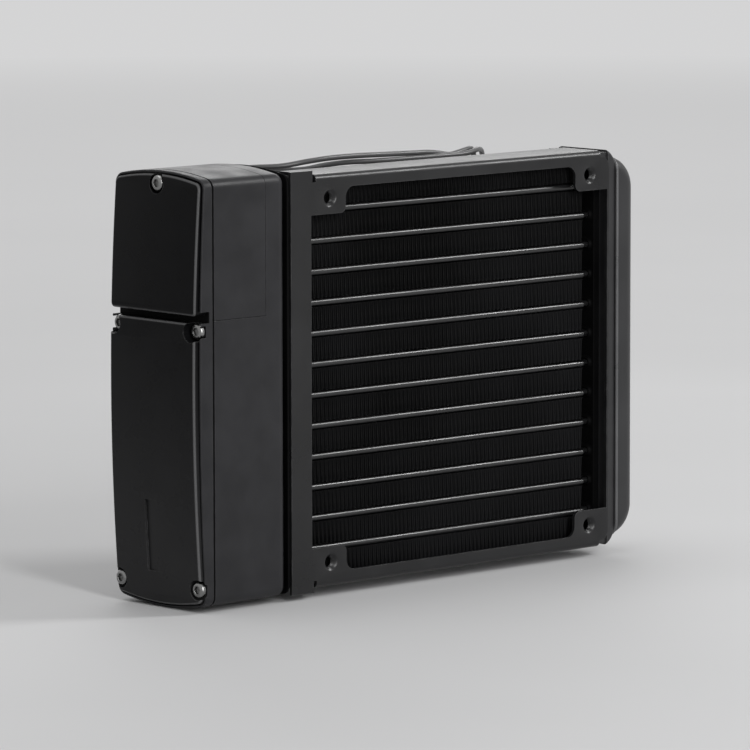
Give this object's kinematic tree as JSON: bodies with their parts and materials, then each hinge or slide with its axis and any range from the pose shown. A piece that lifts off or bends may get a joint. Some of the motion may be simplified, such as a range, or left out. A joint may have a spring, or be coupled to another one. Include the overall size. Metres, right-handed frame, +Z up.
{
  "type": "all in one cpu liquid cooler",
  "caption": "Liquid cooler for a processor: a finned radiator in a folded black frame with its pump and reservoir housing on one end, hose ports behind and an end tank at the other.",
  "frame": {"origin": "middle of the bottom of the cooler's bounding box, without the free pump lead", "axes": "+X runs along the radiator from the pump housing to the end tank, +Y from the fan side to the hose side, +Z up"},
  "size_m": [0.1768, 0.0629, 0.1245],
  "materials": {
    "painted_sheet": "folded steel sheet in satin black paint with a fine grain",
    "painted_core": "brazed aluminium in satin black paint",
    "fin_stock": "thin corrugated aluminium in matt black paint",
    "housing_black": "moulded black plastic with a fine satin grain",
    "cover_black": "satin black skin with a bright worn bevel",
    "screw_steel": "bright machined steel",
    "seal_rubber": "plain black rubber",
    "stator_iron": "plain laminated iron",
    "coil_copper": "enamelled copper wire",
    "board_green": "green circuit board",
    "pump_plastic": "plain grey pump moulding",
    "bush_carbon": "plain carbon bush",
    "shaft_ceramic": "ground white ceramic",
    "magnet_ferrite": "plain dark ferrite",
    "wire_black": "thin black insulated wire",
    "connector_nylon": "black nylon"
  },
  "bodies": {
    "cooler": {"back_frame": "painted_sheet", "bearing_plate": "pump_plastic", "bottom_side_plate": "painted_core", "control_board": "board_green", "cover_screw_1": "screw_steel", "cover_screw_2": "screw_steel", "cover_screw_3": "screw_steel", "cover_screw_4": "screw_steel", "cover_screw_5": "screw_steel", "end_plate": "housing_black", "end_plate_gasket": "seal_rubber", "end_tank": "painted_core", "fin_strip_01": "fin_stock", "fin_strip_02": "fin_stock", "fin_strip_03": "fin_stock", "fin_strip_04": "fin_stock", "fin_strip_05": "fin_stock", "fin_strip_06": "fin_stock", "fin_strip_07": "fin_stock", "fin_strip_08": "fin_stock", "fin_strip_09": "fin_stock", "fin_strip_10": "fin_stock", "fin_strip_11": "fin_stock", "fin_strip_12": "fin_stock", "fin_strip_13": "fin_stock", "front_bush": "bush_carbon", "front_frame": "painted_sheet", "lead_connector": "connector_nylon", "lead_gland": "seal_rubber", "lead_wire_1": "wire_black", "lead_wire_2": "wire_black", "left_header": "painted_core", "lower_cover": "cover_black", "pump_housing": "housing_black", "rear_bush": "bush_carbon", "return_port": "housing_black", "right_header": "painted_core", "side_panel": "housing_black", "stator_coil": "coil_copper", "stator_core": "stator_iron", "supply_port": "housing_black", "top_side_plate": "painted_core", "tube_01": "painted_core", "tube_02": "painted_core", "tube_03": "painted_core", "tube_04": "painted_core", "tube_05": "painted_core", "tube_06": "painted_core", "tube_07": "painted_core", "tube_08": "painted_core", "tube_09": "painted_core", "tube_10": "painted_core", "tube_11": "painted_core", "tube_12": "painted_core", "upper_cover": "cover_black", "volute_casing": "pump_plastic"},
    "rotor": {"rotor_shaft": "shaft_ceramic", "rotor_magnet": "magnet_ferrite", "impeller": "pump_plastic"}
  },
  "joints": [
    {"name": "rotor_spin", "type": "hinge", "parent": "cooler", "child": "rotor", "pos_m": [-0.07175, -0.0075, 0.0342], "axis": [1, 0, 0], "continuous": true}
  ]
}
